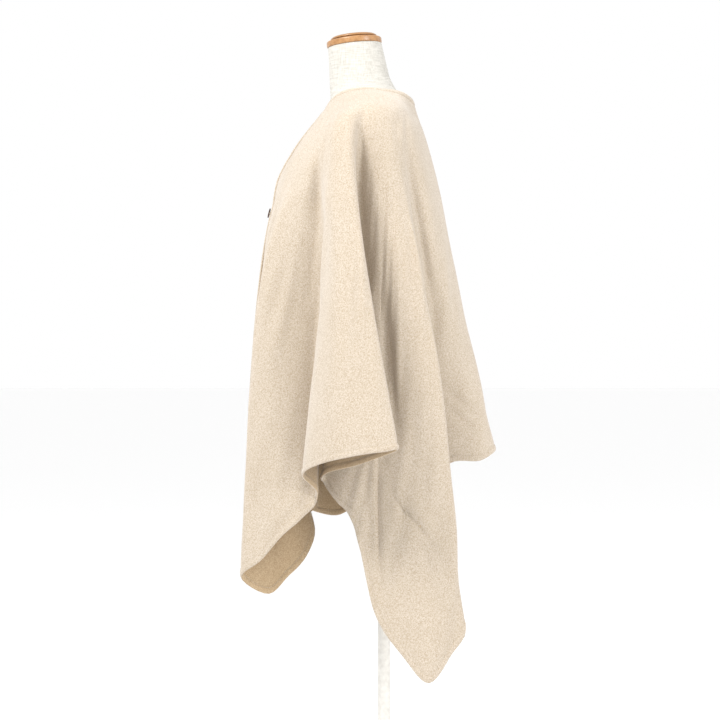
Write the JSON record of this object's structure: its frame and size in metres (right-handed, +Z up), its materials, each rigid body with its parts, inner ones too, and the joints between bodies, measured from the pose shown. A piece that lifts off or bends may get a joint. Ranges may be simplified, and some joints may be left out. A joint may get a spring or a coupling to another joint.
{
  "type": "knitted poncho sweater on a dress form",
  "caption": "Wide knitted poncho sweater hanging in folds, with a lapped front and a button, on a limbless dress form with a round stand.",
  "frame": {"origin": "centre of the stand's underside, where it rests on the floor", "axes": "+Z up; the wearer faces -Y and the wearer's left is +X"},
  "size_m": [0.6184, 0.4955, 1.558],
  "materials": {
    "knit": "thick fuzzy wool knit, heathered oatmeal",
    "horn": "satin, mottled dark brown",
    "linen": "plain off-white weave",
    "beech": "satin varnish, reddish",
    "enamel": "satin off-white paint"
  },
  "bodies": {
    "root": {"poncho_panel": "knit", "front_button": "horn", "dress_form": "linen", "neck_cap": "beech", "stand_base": "enamel", "stand_pole": "enamel"}
  },
  "joints": []
}
